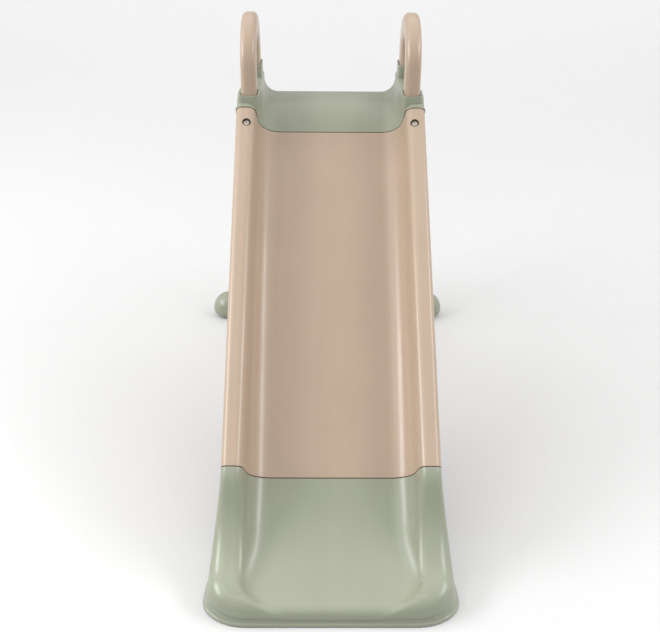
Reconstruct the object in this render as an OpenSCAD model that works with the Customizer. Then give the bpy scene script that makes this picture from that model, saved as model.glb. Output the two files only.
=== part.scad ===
// Toddler slide: straight trough chute, curved run-out, start platform, ladder and two handles.
// Frame: +Z up, +X right, run-out towards -Y, ladder towards +Y, origin bottom centre.

/* [Overall] */
// Width over the chute rails
chute_w = 380; // [320:1:460]
// Straight chute between its two seams
chute_len = 734; // [560:1:900]
// Slope of the chute above the floor, degrees
slope = 38; // [28:0.5:42]
// Width of the ladder's base bar
base_w = 584; // [480:1:700]
// Lean of the ladder from upright, degrees
lean = 11.5; // [5:0.5:16]

/* [Trough section] */
// Depth of the trough, floor to rail top
trough_d = 87; // [70:1:105]
// Wall angle of the trough, degrees
wall_deg = 83; // [70:1:86]
// Radius between floor and wall
foot_r = 44; // [30:1:50]
// Radius of the rail's inner edge
lip_r = 16; // [10:1:20]
// Radius of the rail's outer edge
edge_r = 12; // [8:1:16]
// Skirt depth below the floor surface
skirt = 14; // [10:1:30]
// Moulded wall thickness
wall = 4; // [3:0.5:5]

/* [Run-out] */
// Radius of the run-out floor
run_r = 387; // [320:1:480]
// Height of the floor at the front edge
front_h = 31; // [22:1:45]
// Rail height left at the front corners
corner_h = 20; // [10:1:35]
// Width over the front corners
front_w = 430; // [390:1:520]
// Front corner, along X
corner_x = 75; // [50:1:100]
// Front corner, along Y
corner_y = 58; // [40:1:80]

/* [Platform] */
// Radius of the start scoop
scoop_r = 196; // [150:1:260]
// Level deck behind the scoop
deck_flat = 41; // [25:1:80]
// Shoulder height above the deck
shoulder_h = 45; // [38:1:60]
// Moulded wall of the platform
deck_wall = 3; // [2.5:0.1:4]

/* [Handles] */
// Handle centre in from the chute's side
handle_in = 25; // [20:0.5:36]
// Grip thickness along X
grip_x = 31; // [26:0.5:36]
// Grip depth along Y
grip_y = 49; // [40:0.5:56]
// Distance between the two legs, centre to centre
leg_gap = 147; // [125:1:180]
// Height of the handle's top over the deck
handle_h = 190; // [160:1:230]
// Wall of the collars that hold the legs
collar_w = 2.7; // [2:0.1:4]

/* [Ladder] */
// Number of treads
steps = 3;
// Tread depth
tread = 86; // [70:1:110]
// Tread thickness
tread_t = 28; // [22:1:40]
// Base bar depth along Y
bar_d = 76; // [66:1:110]
// Base bar height
bar_h = 60; // [48:1:80]

/* [Fasteners] */
// Cap screw shank radius
bolt_r = 3; // [2.5:0.1:4]
// Recess radius round a rail screw
recess_r = 8; // [7:0.1:10]
// Self-tapping screw shank radius
screw_r = 2.2; // [1.8:0.1:2.6]
// Play round a shank
play = 0.3; // [0.2:0.05:0.5]
// Ground clearance given by the rubber feet
foot_t = 2; // [1:0.5:4]

/* [Hidden] */
green = [0.66, 0.70, 0.60];
beige = [0.78, 0.69, 0.60];
steel = [0.70, 0.70, 0.68];
rubber = [0.12, 0.12, 0.12];
hw = chute_w / 2;
handle_x = hw - handle_in;
gap = 0.3;
// floor curve of the run-out: centre above the floor
c1y = 6;
c1z = front_h + run_r;
sy = c1y + run_r * sin(slope);
sz = c1z - run_r * cos(slope);
// top seam and scoop centre below the deck
ty = sy + chute_len * cos(slope);
tz = sz + chute_len * sin(slope);
c2y = ty + scoop_r * sin(slope);
c2z = tz - scoop_r * cos(slope);
deck_z = c2z + scoop_r;
// trough section
blend = foot_r + lip_r;
rise = trough_d - blend * (1 - cos(wall_deg));
wall_x = blend * sin(wall_deg) + rise / tan(wall_deg);
rail_in = hw - edge_r - 10;
floor_x = rail_in - wall_x;
// handles and collars
shoulder_z = deck_z + shoulder_h;
col_x = grip_x + 2 * (collar_w + 0.8);
col_y = grip_y + 2 * (collar_w + 0.8);
rim_z = shoulder_z + 2.5;
front_leg_y = ty - trough_d * sin(slope) + 12 + grip_y / 2;
rear_leg_y = front_leg_y + leg_gap;
rear_y = max(c2y + deck_flat, rear_leg_y + col_y / 2 + deck_wall + 0.5);
bend_r = leg_gap / 2;
bend_z = deck_z + handle_h - bend_r - grip_y / 2;
socket_z = rim_z + 24;
// ladder
stile_in = handle_x - col_x / 2;
stile_out = handle_x + col_x / 2;
knee_z = deck_z - 74;
bar_y = rear_leg_y + tan(lean) * (knee_z - foot_t);
all_y = bar_y + bar_d / 2;
step_gap = (deck_z - 20) / (steps + 1);

$fn = 48;

function mix(a, b, t) = a + (b - a) * t;
function ease(t) = let (u = max(0, min(1, t))) u * u * (3 - 2 * u);
// right half of a trough section, centre to outer bottom: [x, n]
// g is how far the curve lies inside the moulded wall, dr how far the skirt flares
function half(xs, rf, rc, ph, h, xw, ro, nb, g, k, dr = 0) =
  let (x2 = xs + (rf + rc) * sin(ph) + (h - (rf + rc) * (1 - cos(ph))) / tan(ph))
  concat(
    [[xs, -g]],
    [for (i = [1 : k]) let (a = ph * i / k) [xs + (rf + g) * sin(a), rf - (rf + g) * cos(a)]],
    [for (i = [0 : k - 1]) let (a = ph * (1 - i / k))
      [x2 - (rc - g) * sin(a), h - rc + (rc - g) * cos(a)]],
    [[x2, h - g]],
    [for (i = [0 : k]) let (a = 90 * i / k)
      [xw - ro + (ro - g) * sin(a), h - ro + (ro - g) * cos(a)]],
    [[xw + dr - g, nb]]);
function flip(p) = [for (i = [len(p) - 1 : -1 : 0]) [-p[i][0], p[i][1]]];
function back(p) = [for (i = [len(p) - 1 : -1 : 0]) p[i]];
function trough(g) = half(floor_x, foot_r, lip_r, wall_deg, trough_d, hw, edge_r, -skirt, g, 8);
function whole(p) = concat(flip(p), p);

// local z runs down the slope from the top seam, local y is square to the floor
module on_slope(down = 0) {
  translate([0, ty, tz])
    rotate([90 + slope, 0, 0])
      translate([0, 0, down])
        children();
}

module rounded(x, y, r, h) {
  linear_extrude(h)
    rounded2(x, y, r);
}

module rounded2(x, y, r) {
  union() {
    square([x - 2 * r, y], center = true);
    square([x, y - 2 * r], center = true);
    for (i = [-1, 1], j = [-1, 1])
      translate([i * (x / 2 - r), j * (y / 2 - r)])
        circle(r);
  }
}

module both() {
  for (s = [0, 1])
    mirror([s, 0, 0])
      children();
}

// ---------------------------------------------------------------- chute
rail_down = 35;
splice_down = [chute_len - 28, chute_len - 46];
// middle of the splices and of their screws, up from the trough's floor
splice_up = trough_d - 35;
splice_screw_up = trough_d - 27;
splice_reach = 42 * min(1, (sy - corner_y) / 186);

module chute() {
  color(beige)
    on_slope()
      difference() {
        union() {
          linear_extrude(chute_len - gap)
            polygon(concat(whole(trough(0)), back(whole(trough(wall)))));
          for (i = [0 : 5])
            translate([0, 0, mix(100, chute_len - 100, i / 5)])
              linear_extrude(3)
                polygon(whole(trough(wall / 2)));
          both()
            translate([handle_x + 3, trough_d - 9, rail_down])
              rotate([-90, 0, 0])
                cylinder(r = recess_r + 3, h = 7);
          for (x = [-60, 0, 60])
            translate([x - 1.5, -skirt, 20])
              cube([3, skirt - 2, chute_len - 40]);
        }
        both()
          translate([handle_x + 3, trough_d, rail_down])
            rotate([90, 0, 0]) {
              translate([0, 0, -1])
                cylinder(r = recess_r, h = 6);
              cylinder(r = bolt_r + play, h = 30);
            }
        both()
          for (z = splice_down)
            translate([hw - wall - 3, splice_screw_up, z])
              rotate([0, 90, 0]) {
                cylinder(r = screw_r + play, h = 12);
                translate([0, 0, wall + 0.95])
                  cylinder(r = 4.2 + play, h = 8);
              }
      }
}

// ---------------------------------------------------------------- run-out
// one rib of the surface per step: u runs from the right seam round the corner to the middle
us = 14;
uc = 9;
uf = 4;
um = us + uc + uf;
front_x = front_w / 2 - corner_x;
bend_in = 48;
soft_foot = 46;
soft_lip = 22;
function run_z(y) = c1z - sqrt(run_r * run_r - (y - c1y) * (y - c1y));
function rib_s(i) = min(1, i / us);
function rib_c(i) = min(1, max(0, i - us) / uc);
function rib_f(i) = max(0, i - us - uc) / uf;
function rib_y(i) = mix(sy, corner_y, rib_s(i)) - 1.5 * max(0, i - us);
function wall_at(h, rf, rc) = min(wall_deg, 0.97 * acos(1 - min(0.99, h / (rf + rc))));
function crest_at(h, rf, rc, ph) = (rf + rc) * sin(ph) + (h - (rf + rc) * (1 - cos(ph))) / tan(ph);
corner_ph = wall_at(corner_h, soft_foot, soft_lip);
crest_in = rail_in - 4;
foot_in = crest_in - crest_at(corner_h, soft_foot, soft_lip, corner_ph);
// side ribs: a section across, leant with the slope at the seam and upright at the corner
function side_rf(s) = mix(foot_r, soft_foot, ease(s));
function side_rc(s) = mix(lip_r, soft_lip, ease(s));
function side_ph(s) = wall_at(side_h(s), side_rf(s), side_rc(s));
function side_in(s) = mix(rail_in, crest_in, ease(s))
  - crest_at(side_h(s), side_rf(s), side_rc(s), side_ph(s));
function side_tip(s) = 1 - ease(s);
function side_th(y) = asin((y - c1y) / run_r);
function side_h(s) = mix(trough_d, corner_h, ease(s));
function side_rib(i, g, k) =
  let (
    s = rib_s(i),
    y = rib_y(i),
    th = side_th(y),
    tip = side_tip(s),
    up = mix(1, cos(th), tip),
    w = mix(hw, front_w / 2, ease(s)) - side_in(s),
    dr = mix(0, 8, ease(s)),
    zb = mix(sz - skirt * cos(slope), foot_t, ease(s * 1.9)),
    nb = (zb - run_z(y)) / up
  )
  [for (e = half(0, side_rf(s), side_rc(s), side_ph(s), side_h(s), w - dr,
      mix(edge_r, 30, ease(s)), nb, g, k, dr))
    [side_in(s) + e[0], y - e[1] * sin(th) * tip, run_z(y) + e[1] * up]];
// corner and front ribs: plan lines at set distances inside the outline, heights from a field
function outline(i, d) = rib_f(i) > 0 ? [front_x * (1 - rib_f(i)), d]
  : [front_x + (corner_x - d) * cos(90 * rib_c(i)), corner_y - (corner_y - d) * sin(90 * rib_c(i))];
function inner(i, x, d) = rib_f(i) > 0 ? [(x - bend_in) * (1 - rib_f(i)), corner_y - d]
  : [x - bend_in * (1 - cos(90 * rib_c(i))), corner_y - d * sin(90 * rib_c(i))];
function field_in(y) = foot_in
  - bend_in * (1 - sqrt(1 - pow(min(1, max(0, corner_y - y) / (corner_y - 4)), 2)));
function field_h(y) = max(0.3, corner_h * (1 - pow(1 - min(1, y / corner_y), 2)));
function rail_n(q, h) =
  let (
    ph = wall_at(h, soft_foot, soft_lip),
    x2 = crest_at(h, soft_foot, soft_lip, ph),
    q1 = soft_foot * sin(ph)
  )
  q <= 0 ? 0
  : q < q1 ? soft_foot - sqrt(soft_foot * soft_foot - q * q)
  : q < x2 - soft_lip * sin(ph) ? soft_foot * (1 - cos(ph)) + (q - q1) * tan(ph)
  : q < x2 ? h - soft_lip + sqrt(soft_lip * soft_lip - (x2 - q) * (x2 - q))
  : h;
function field(p) = run_z(p[1]) + rail_n(p[0] - field_in(p[1]), field_h(p[1]));
function corner_rib(i, g, k) =
  let (
    ro = mix(30, 18, ease(rib_c(i))),
    dr = mix(8, 4, ease(rib_c(i))),
    a0 = inner(i, foot_in, corner_y - 36),
    a1 = inner(i, crest_in, corner_y - 29),
    a2 = outline(i, dr + ro),
    a3 = outline(i, dr + g)
  )
  concat(
    [for (j = [0 : 2 * k + 1]) let (p = mix(a0, a1, j / (2 * k + 1))) [p[0], p[1], field(p) - g]],
    [for (j = [0 : k]) let (a = 90 * j / k, p = mix(a2, a3, sin(a)))
      [p[0], p[1], field(p) - ro + (ro - g) * cos(a)]],
    [let (p = outline(i, g)) [p[0], p[1], foot_t]]);

module run_shell() {
  k = 5;
  function spine(i, g, f, to) = let (y = rib_y(i), th = side_th(y), t = side_tip(rib_s(i)))
    f == 0 ? [0, y + g * sin(th) * t, run_z(y) - g * mix(1, cos(th), t)]
    : [to[0] * f, mix(y + g * sin(th) * t, to[1], f),
       i > us ? run_z(mix(y, to[1], f)) - g : to[2]];
  function rib(i, g) = let (r = i <= us ? side_rib(i, g, k) : corner_rib(i, g, k))
    concat([for (f = [0, 0.4, 0.75]) spine(i, g, f, r[0])], r);
  top = [for (i = [0 : um]) rib(i, 0)];
  low = [for (i = [0 : um]) rib(i, wall)];
  m = len(top[0]);
  function mir(v) = [-v[0], v[1], v[2]];
  // right ribs, left ribs, for the outer skin and then the inner one
  pts = concat(
    [for (r = top, v = r) v], [for (r = top, v = r) mir(v)],
    [for (r = low, v = r) v], [for (r = low, v = r) mir(v)]);
  b = (um + 1) * m;
  // the last spine triangle would lie flat on the middle plane
  function live(i, j, t) = t == 0 || j > 0 || i < um - 1;
  function id(side, skin, i, j) =
    (j == 0 || i == um ? 0 : side * b) + skin * 2 * b + i * m + j;
  faces = concat(
    [for (i = [0 : um - 1], j = [0 : m - 2], t = [0, 1]) if (live(i, j, t)) t == 0
      ? [id(0, 0, i, j), id(0, 0, i, j + 1), id(0, 0, i + 1, j + 1)]
      : [id(0, 0, i, j), id(0, 0, i + 1, j + 1), id(0, 0, i + 1, j)]],
    [for (i = [0 : um - 1], j = [0 : m - 2], t = [0, 1]) if (live(i, j, t)) t == 0
      ? [id(1, 0, i, j), id(1, 0, i + 1, j + 1), id(1, 0, i, j + 1)]
      : [id(1, 0, i, j), id(1, 0, i + 1, j), id(1, 0, i + 1, j + 1)]],
    [for (i = [0 : um - 1], j = [0 : m - 2], t = [0, 1]) if (live(i, j, t)) t == 0
      ? [id(0, 1, i, j), id(0, 1, i + 1, j + 1), id(0, 1, i, j + 1)]
      : [id(0, 1, i, j), id(0, 1, i + 1, j), id(0, 1, i + 1, j + 1)]],
    [for (i = [0 : um - 1], j = [0 : m - 2], t = [0, 1]) if (live(i, j, t)) t == 0
      ? [id(1, 1, i, j), id(1, 1, i, j + 1), id(1, 1, i + 1, j + 1)]
      : [id(1, 1, i, j), id(1, 1, i + 1, j + 1), id(1, 1, i + 1, j)]],
    [for (j = [0 : m - 2], t = [0, 1]) t == 0
      ? [id(0, 0, 0, j), id(0, 1, 0, j), id(0, 1, 0, j + 1)]
      : [id(0, 0, 0, j), id(0, 1, 0, j + 1), id(0, 0, 0, j + 1)]],
    [for (j = [0 : m - 2], t = [0, 1]) t == 0
      ? [id(1, 0, 0, j), id(1, 1, 0, j + 1), id(1, 1, 0, j)]
      : [id(1, 0, 0, j), id(1, 0, 0, j + 1), id(1, 1, 0, j + 1)]],
    [for (i = [0 : um - 1], t = [0, 1]) t == 0
      ? [id(0, 0, i, m - 1), id(0, 1, i, m - 1), id(0, 1, i + 1, m - 1)]
      : [id(0, 0, i, m - 1), id(0, 1, i + 1, m - 1), id(0, 0, i + 1, m - 1)]],
    [for (i = [0 : um - 1], t = [0, 1]) t == 0
      ? [id(1, 0, i, m - 1), id(1, 1, i + 1, m - 1), id(1, 1, i, m - 1)]
      : [id(1, 0, i, m - 1), id(1, 0, i + 1, m - 1), id(1, 1, i + 1, m - 1)]]);
  polyhedron(points = pts, faces = faces, convexity = 8);
}

module run_out() {
  color(green)
    run_shell();
}

// ---------------------------------------------------------------- platform
ps = 12;
pf = 4;
function deck_th(i) = i <= ps ? slope * (1 - i / ps) : 0;
function deck_at(i) = i <= ps
  ? [c2y - scoop_r * sin(deck_th(i)), c2z + scoop_r * cos(deck_th(i))]
  : [mix(c2y, rear_y, (i - ps) / pf), deck_z];
function deck_h(i) =
  let (lvl = (c2z < 0 ? 1 : (scoop_r + shoulder_h)) / cos(deck_th(i)) - scoop_r)
  min(mix(trough_d, trough_d - 2, i / 3), lvl);
function deck_half(i, g) =
  let (t = ease(i / ps * 1.15), h = deck_h(i), rf = mix(foot_r, 30, t), rc = mix(lip_r, 5, t))
  half(mix(floor_x, stile_in - 32.6, t), rf, rc, mix(wall_deg, 87, t), h, mix(hw, hw - 2, t),
    mix(edge_r, 8, t), mix(-skirt, -70, t), g, 5);
function deck_pt(i, e) = let (th = deck_th(i), c = deck_at(i))
  [e[0], c[0] - e[1] * sin(th), c[1] + e[1] * cos(th)];

module deck_shell() {
  loops = [for (i = [0 : ps + pf])
    [for (e = concat(whole(deck_half(i, 0)), back(whole(deck_half(i, deck_wall))))) deck_pt(i, e)]];
  m = len(loops[0]);
  n = ps + pf;
  pts = [for (l = loops, v = l) v];
  faces = concat(
    [for (i = [0 : n - 1], j = [0 : m - 1], t = [0, 1]) let (k = (j + 1) % m) t == 0
      ? [i * m + j, i * m + k, (i + 1) * m + k]
      : [i * m + j, (i + 1) * m + k, (i + 1) * m + j]],
    [for (e = [0, 1], j = [0 : m / 2 - 2], t = [0, 1])
      let (o = e * n * m, a = o + j, b = o + j + 1, c = o + m - 2 - j, d = o + m - 1 - j)
      e == 0 ? (t == 0 ? [a, c, b] : [a, d, c]) : (t == 0 ? [a, b, c] : [a, c, d])]);
  polyhedron(points = pts, faces = [for (f = faces) [f[0], f[2], f[1]]], convexity = 8);
}

module collar_at(y, x0, y0, z0, h, r) {
  translate([handle_x, y, z0])
    rounded(x0, y0, r, h);
}

tongue_x = [handle_x - 5, hw - wall - 1];

module platform() {
  color(green)
    difference() {
      union() {
        deck_shell();
        both()
          intersection() {
            collar_at(front_leg_y, col_x, col_y, deck_z - 10, rim_z - deck_z + 10, 8);
            on_slope(-150 - gap)
              translate([0, -200, 0])
                cube([400, 400, 150]);
          }
        // rear wall, from the deck and shoulders down to the skirt's edge
        translate([0, rear_y, deck_z])
          rotate([90, 0, 0])
            linear_extrude(3)
              polygon(whole(deck_half(ps + pf, deck_wall / 2)));
        // bulkhead behind the seam, with two tongues that reach into the chute's rails
        on_slope(-6)
          linear_extrude(4)
            polygon(whole(trough(wall / 2)));
        both()
          on_slope(-5)
            translate([tongue_x[0], 30, 0])
              cube([tongue_x[1] - tongue_x[0], trough_d - 9 - gap - 30, 75]);
      }
      // sockets of the front legs
      both()
        collar_at(front_leg_y, grip_x + 1.6, grip_y + 1.6, deck_z + 12, 80, 7);
      // the ladder's stiles pass through from below
      both()
        collar_at(rear_leg_y, col_x + 0.6, col_y + 0.6, deck_z - 100, 200, 8.3);
      both()
        translate([hw - 12, rear_leg_y, deck_z - 45])
          rotate([0, 90, 0])
            cylinder(r = bolt_r + play, h = 20);
      // rail screws
      both()
        on_slope()
          translate([handle_x + 3, 0, rail_down])
            rotate([-90, 0, 0]) {
              cylinder(r = bolt_r + play, h = 100);
              cylinder(r = 6.4, h = trough_d - 24);
            }
      // handle screws, heads let into the skirt
      both()
        for (p = grip_screws)
          translate([p[2] - 0.05, p[0], p[1]])
            rotate([0, 90, 0]) {
              cylinder(r = 4.2 + play, h = 8);
              translate([0, 0, -12])
                cylinder(r = screw_r + play, h = 20);
            }
    }
}

// ---------------------------------------------------------------- handles
leg_end = deck_z + 13;
rear_end = deck_z - 10;

// [y, z, x under the head] of the screws that hold the handles
grip_screws = [[front_leg_y, deck_z + 24, hw - 2.5], [rear_leg_y, deck_z + 12, hw - 4.1]];

module handle() {
  color(beige)
    difference() {
      translate([handle_x, 0, 0]) {
        translate([0, front_leg_y, leg_end])
          rounded(grip_x, grip_y, 11, bend_z - leg_end + 0.01);
        translate([0, rear_leg_y, rear_end])
          rounded(grip_x, grip_y, 11, bend_z - rear_end + 0.01);
        translate([0, (front_leg_y + rear_leg_y) / 2, bend_z])
          rotate([90, 0, 90])
            rotate_extrude(angle = 180)
              translate([bend_r, 0])
                rounded2(grip_y, grip_x, 11);
      }
      for (p = grip_screws)
        translate([stile_out - 20, p[0], p[1]])
          rotate([0, 90, 0])
            cylinder(r = screw_r + 0.02, h = 30);
    }
}

module handle_screws() {
  color(steel)
    both()
      for (p = grip_screws)
        translate([p[2], p[0], p[1]])
          rotate([0, 90, 0]) {
            cylinder(r = 4.2, h = 2);
            translate([0, 0, -20])
              cylinder(r = screw_r, h = 20.5);
          }
}

// ---------------------------------------------------------------- ladder
module stile() {
  color(green)
    difference() {
      union() {
        collar_at(rear_leg_y, col_x, col_y, knee_z - 8, socket_z - knee_z + 8, 8);
        translate([handle_x, rear_leg_y, knee_z])
          rotate([lean, 0, 0])
            translate([0, 0, -(knee_z - 10) / cos(lean)])
              rounded(col_x, col_y, 8, (knee_z - 10) / cos(lean) + 8);
      }
      collar_at(rear_leg_y, grip_x + 1.6, grip_y + 1.6, rear_end - 1, 200, 11.6);
      translate([handle_x, rear_leg_y, knee_z])
        rotate([lean, 0, 0])
          translate([0, 0, -knee_z])
            rounded(col_x - 7, col_y - 7, 5, knee_z - 14);
      // bolts of the platform, screws of the treads and of the base bar
      translate([0, rear_leg_y, deck_z - 45])
        rotate([0, 90, 0])
          cylinder(r = bolt_r + play, h = 400);
      for (i = [1 : steps])
        at_step(i)
          for (y = [-14, 14])
            translate([100, y, -tread_t / 2])
              rotate([0, 90, 0])
                cylinder(r = screw_r + play, h = 100);
      translate([handle_x, bar_y + bar_d, 24])
        rotate([90, 0, 0])
          cylinder(r = screw_r + play, h = bar_d);
      translate([stile_out - 10, grip_screws[1][0], grip_screws[1][1]])
        rotate([0, 90, 0])
          cylinder(r = screw_r + play, h = 30);
      collar_at(rear_leg_y, grip_x - 5, grip_y - 5, knee_z + 8, rear_end - knee_z, 5);
    }
}

module at_step(i) {
  z = step_gap * i;
  translate([0, rear_leg_y + tan(lean) * (knee_z - z), z])
    children();
}

module step(i) {
  l = 2 * (stile_in - gap);
  color(beige)
    at_step(i)
      difference() {
        union() {
          rotate([90, 0, 90])
            translate([0, 0, -l / 2])
              linear_extrude(l)
                translate([0, -tread_t / 2])
                  rounded2(tread, tread_t, 8);
          for (k = [-2 : 2])
            translate([-l / 2 + 14, k * 13, -0.6])
              rotate([0, 90, 0])
                cylinder(r = 2, h = l - 28);
        }
        // three pockets underneath
        for (k = [-1 : 1])
          translate([k * (l - 24) / 3 - (l - 36) / 6, -tread / 2 + 6, -tread_t - 1])
            cube([(l - 36) / 3, tread - 12, tread_t - 3]);
        for (s = [-1, 1], y = [-14, 14])
          translate([s * (l / 2 - 9), y, -tread_t / 2])
            rotate([0, 90, 0])
              cylinder(r = screw_r + 0.02, h = 20, center = true);
      }
}

// half outline of the base bar's dome: [r, z]
function dome(r, h, k, g) = concat(
  [[0, h - g]],
  [for (i = [1 : k]) let (a = 90 * i / k) [(r - g) * sin(a), 18 + (h - 18 - g) * cos(a)]],
  [for (i = [1 : k]) let (a = 90 * i / k) [r - 14 + (14 - g) * cos(a), 18 - 18 * sin(a)]]);

module bar_solid(g) {
  r = bar_d / 2;
  p = dome(r, bar_h - foot_t, 10, g);
  l = base_w / 2 - r;
  o = g > 0 ? 1 : 0;
  union() {
    rotate([90, 0, 90])
      linear_extrude(2 * l, center = true)
        polygon(concat(
          [for (i = [len(p) - 1 : -1 : 1]) [-p[i][0], p[i][1]]], p,
          [[p[len(p) - 1][0], -o], [-p[len(p) - 1][0], -o]]));
    for (s = [-1, 1])
      translate([s * l, 0, 0])
        rotate_extrude()
          polygon(concat([[0, -o]], p, [[p[len(p) - 1][0], -o]]));
  }
}

pad_x = base_w / 2 - bar_d / 2 - 4;

module base_bar() {
  color(green)
    translate([0, bar_y, foot_t])
      difference() {
        union() {
          difference() {
            bar_solid(0);
            bar_solid(wall);
          }
          // ribs either side of each stile, and pads for the feet
          intersection() {
            bar_solid(0);
            for (s = [-1, 1]) {
              for (x = [stile_in - 5 - gap, stile_out + gap])
                translate([s > 0 ? x : -x - 5, -bar_d, 0])
                  cube([5, 2 * bar_d, bar_h]);
              translate([s * pad_x, 0, 0])
                cylinder(r = 9, h = bar_h);
            }
          }
        }
        both()
          translate([0, 0, -foot_t])
            translate([0, -bar_y, 0])
              translate([handle_x, rear_leg_y, knee_z])
                rotate([lean, 0, 0])
                  translate([0, 0, -knee_z - 20])
                    rounded(col_x + 2 * gap, col_y + 2 * gap, 8.3, knee_z);
        both()
          translate([handle_x, bar_d, 24 - foot_t])
            rotate([90, 0, 0]) {
              cylinder(r = screw_r + play, h = bar_d);
              cylinder(r = 4.2 + play, h = bar_d / 2 + 2.4);
            }
        for (s = [-1, 1])
          translate([s * pad_x, 0, -1])
            cylinder(r = 4 + play, h = 16);
      }
}

// ---------------------------------------------------------------- fasteners
module lower_splices() {
  w = tongue_x[1] - tongue_x[0];
  color(beige)
    both()
      on_slope(chute_len - 58)
        difference() {
          translate([tongue_x[0] + w / 2, splice_up, 0])
            rounded(w, 34, 3, 58 + splice_reach);
          translate([tongue_x[0] + w / 2, splice_up, -1])
            rounded(w - 6, 28, 2, 60 + splice_reach);
          for (z = [12, 30])
            translate([hw - 20, splice_screw_up, z])
              rotate([0, 90, 0])
                cylinder(r = screw_r + 0.02, h = 30);
        }
}

module splice_screws() {
  color(steel)
    both()
      on_slope()
        for (z = splice_down)
          translate([hw - 2, splice_screw_up, z])
            rotate([0, 90, 0]) {
              cylinder(r = 4.2, h = 1.8);
              translate([0, 0, -14])
                cylinder(r = screw_r, h = 14.5);
            }
}

module rail_screws() {
  color(steel)
    both()
      on_slope()
        translate([handle_x + 3, trough_d - 5, rail_down])
          rotate([-90, 0, 0])
            difference() {
              union() {
                cylinder(r = 5.2, h = 3.4);
                translate([0, 0, -25])
                  cylinder(r = bolt_r, h = 26);
              }
              translate([0, 0, 1.2])
                cylinder(r = 2.6, h = 4, $fn = 6);
            }
}

module rail_nuts() {
  color(steel)
    both()
      on_slope()
        translate([handle_x + 3, trough_d - 24 - 5, rail_down])
          rotate([-90, 0, 0])
            difference() {
              cylinder(r = 5.7, h = 4.8, $fn = 6);
              translate([0, 0, -1])
                cylinder(r = bolt_r + 0.02, h = 8);
            }
}

module deck_bolts() {
  color(steel)
    both()
      translate([hw - 2, rear_leg_y, deck_z - 45])
        rotate([0, 90, 0]) {
          translate([0, 0, 1.6])
            cylinder(r = 5.5, h = 3.4);
          translate([0, 0, 2 - 58])
            cylinder(r = bolt_r, h = 58);
        }
}

module deck_washers() {
  color(steel)
    both()
      for (x = [hw - 2 + 0.05, stile_in - 1.6])
        translate([x, rear_leg_y, deck_z - 45])
          rotate([0, 90, 0])
            difference() {
              cylinder(r = 8, h = 1.5);
              translate([0, 0, -1])
                cylinder(r = bolt_r + 0.2, h = 4);
            }
}

module deck_nuts() {
  color(steel)
    both()
      translate([stile_in - 1.7 - 5, rear_leg_y, deck_z - 45])
        rotate([0, 90, 0])
          difference() {
            cylinder(r = 5.7, h = 5, $fn = 6);
            translate([0, 0, -1])
              cylinder(r = bolt_r + 0.02, h = 8);
          }
}

module step_screws() {
  color(steel)
    both()
      for (i = [1 : steps])
        at_step(i)
          for (y = [-14, 14])
            translate([stile_out, y, -tread_t / 2])
              rotate([0, 90, 0]) {
                translate([0, 0, 0.05])
                  cylinder(r = 4.4, h = 2.2);
                translate([0, 0, -col_x - 10])
                  cylinder(r = screw_r, h = col_x + 10.5);
              }
}

module base_screws() {
  color(steel)
    both()
      translate([handle_x, bar_y + bar_d / 2 - 2.35, 24])
        rotate([90, 0, 0]) {
          translate([0, 0, -1.9])
            cylinder(r = 4.2, h = 1.9);
          translate([0, 0, -1])
            cylinder(r = screw_r, h = 22);
        }
}

// ---------------------------------------------------------------- feet
front_pads = [[108, 42], [108, 92]];

module front_feet() {
  color(rubber)
    both()
      for (p = front_pads)
        translate([p[0], p[1], 0])
          cylinder(r1 = 11, r2 = 9, h = run_z(p[1] - 9) - wall - gap);
}

module rear_feet() {
  color(rubber)
    for (s = [-1, 1])
      translate([s * pad_x, bar_y, 0]) {
        cylinder(r = 13, h = foot_t);
        cylinder(r = 4, h = foot_t + 12);
      }
}

module place() {
  translate([0, -all_y / 2, 0])
    children();
}

place() chute();
place() run_out();
place() platform();
place() mirror([1, 0, 0]) handle();  // handle_left
place() handle();  // handle_right
place() mirror([1, 0, 0]) stile();  // stile_left
place() stile();  // stile_right
place() step(1);  // step_1
place() step(2);  // step_2
place() step(3);  // step_3
place() base_bar();
place() lower_splices();
place() rail_screws();
place() rail_nuts();
place() splice_screws();
place() handle_screws();
place() deck_bolts();
place() deck_nuts();
place() deck_washers();
place() step_screws();
place() base_screws();
place() front_feet();
place() rear_feet();
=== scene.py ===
import math

import bmesh
import bpy
import numpy as np
from mathutils import Matrix, Vector


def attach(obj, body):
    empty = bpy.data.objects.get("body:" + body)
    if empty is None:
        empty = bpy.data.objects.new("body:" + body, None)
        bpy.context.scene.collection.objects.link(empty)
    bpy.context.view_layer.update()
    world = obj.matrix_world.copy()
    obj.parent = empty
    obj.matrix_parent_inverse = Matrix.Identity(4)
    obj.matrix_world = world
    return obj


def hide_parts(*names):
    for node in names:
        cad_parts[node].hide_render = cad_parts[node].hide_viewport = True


bl_info = {
    "name": "Toddler slide",
    "version": (1, 0, 0),
    "blender": (4, 5, 0),
    "location": "View3D > Sidebar > Slide",
    "description": "Moulded surfaces, finishes and studio of a toddler slide",
    "category": "Object",
}

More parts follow.
